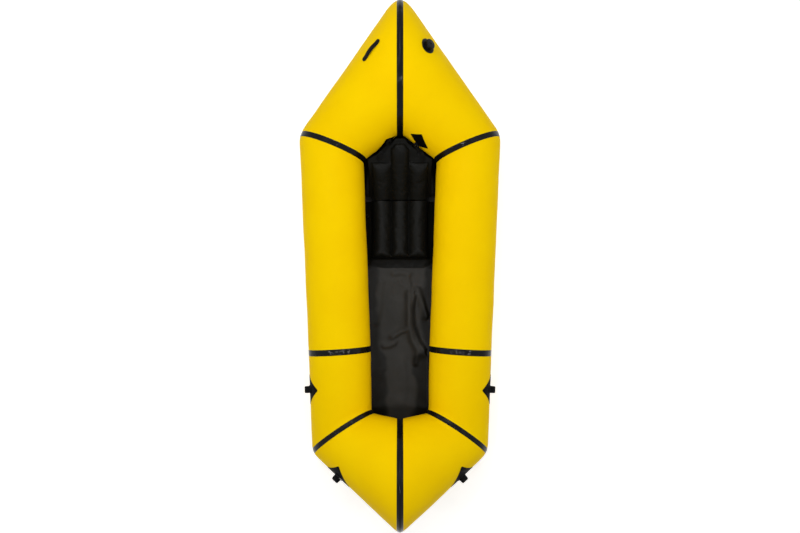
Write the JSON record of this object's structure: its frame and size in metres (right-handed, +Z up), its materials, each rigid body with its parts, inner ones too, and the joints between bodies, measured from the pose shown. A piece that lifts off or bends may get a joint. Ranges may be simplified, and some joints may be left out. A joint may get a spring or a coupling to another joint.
{
  "type": "packraft",
  "caption": "Inflatable one-person packraft: a ring of mitred, tapered air tubes over a flat floor, with a channelled seat, a folding strapped backrest and a capped push valve.",
  "frame": {"origin": "middle of the boat on the ground, under its flat floor", "axes": "+Y to the stern, +X to the side on the right from above with the stern up, +Z up"},
  "size_m": [0.832, 2.0647, 0.4664],
  "materials": {
    "tube_fabric": "yellow coated nylon, semi-gloss",
    "seam_tape": "black coated tape, glossy",
    "floor_fabric": "dark grey coated fabric, low sheen",
    "seat_fabric": "black coated fabric, satin",
    "webbing": "black woven webbing, matt",
    "moulded_rubber": "black moulded rubber",
    "black_plastic": "black moulded nylon",
    "seal_rubber": "soft black rubber, matt",
    "spring_steel": "bright spring steel"
  },
  "bodies": {
    "hull": {"stern_tube_left": "tube_fabric", "stern_tube_right": "tube_fabric", "side_tube_left": "tube_fabric", "side_tube_right": "tube_fabric", "bow_side_tube_left": "tube_fabric", "bow_side_tube_right": "tube_fabric", "bow_tube_left": "tube_fabric", "bow_tube_right": "tube_fabric", "stern_corner_tape_left": "seam_tape", "stern_corner_tape_right": "seam_tape", "mid_tape_left": "seam_tape", "mid_tape_right": "seam_tape", "bow_corner_tape_left": "seam_tape", "bow_corner_tape_right": "seam_tape", "stern_centre_tape": "seam_tape", "bow_centre_tape": "seam_tape", "side_tie_down_patch_left": "seam_tape", "side_tie_down_patch_right": "seam_tape", "bow_tie_down_patch_left": "seam_tape", "bow_tie_down_patch_right": "seam_tape", "anchor_patch_left": "seam_tape", "anchor_patch_right": "seam_tape", "floor_sheet": "floor_fabric", "seat_cushion": "seat_fabric", "backrest_hinge_strip": "seat_fabric", "side_tie_down_loop_left": "webbing", "side_tie_down_loop_right": "webbing", "bow_tie_down_loop_left": "webbing", "bow_tie_down_loop_right": "webbing", "stern_lash_strap": "webbing", "ring_keeper_left": "webbing", "ring_keeper_right": "webbing", "backrest_strap_left": "webbing", "backrest_strap_right": "webbing", "valve_boot": "moulded_rubber", "seat_valve_base": "moulded_rubber", "strap_ring_left": "black_plastic", "strap_ring_right": "black_plastic", "valve_body": "black_plastic", "valve_cap_tether": "seal_rubber", "valve_spring": "spring_steel"},
    "backrest": {"backrest_cushion": "seat_fabric", "ladder_lock_left": "black_plastic", "ladder_lock_right": "black_plastic", "lock_tab_left": "webbing", "lock_tab_right": "webbing", "backrest_valve_base": "moulded_rubber"},
    "backrest_valve_nozzle": {"backrest_valve_nozzle": "black_plastic"},
    "seat_valve_nozzle": {"seat_valve_nozzle": "black_plastic"},
    "valve_cap": {"valve_cap": "black_plastic", "valve_cap_gasket": "seal_rubber"},
    "valve_stem": {"valve_stem": "black_plastic", "valve_poppet": "seal_rubber"}
  },
  "joints": [
    {"name": "backrest_fold", "type": "hinge", "parent": "hull", "child": "backrest", "pos_m": [0, 0.2701, 0.0611], "axis": [1, 0, 0], "range_deg": [0, 125], "deforming": ["backrest_strap_left", "backrest_strap_right", "backrest_hinge_strip"]},
    {"name": "main_valve_cap_twist", "type": "hinge", "parent": "hull", "child": "valve_cap", "pos_m": [0.10604, 0.82912, 0.35257], "axis": [0.6493, 0.2617, 0.7141], "range_deg": [0, 90]},
    {"name": "main_valve_stem_push", "type": "slide", "parent": "hull", "child": "valve_stem", "axis": [-0.6493, -0.2617, -0.7141], "range_m": [0, 0.005], "stiffness_N_per_m": 250, "springref_m": -0.004, "deforming": ["valve_spring"]},
    {"name": "seat_valve_twist", "type": "hinge", "parent": "hull", "child": "seat_valve_nozzle", "pos_m": [-0.1402, 0.2095, 0.0023], "axis": [0, 0, 1], "range_deg": [0, 90]},
    {"name": "backrest_valve_twist", "type": "hinge", "parent": "backrest", "child": "backrest_valve_nozzle", "pos_m": [0.07705, 0.37817, 0.07971], "axis": [0, 0.5592, -0.829], "range_deg": [0, 90]}
  ]
}
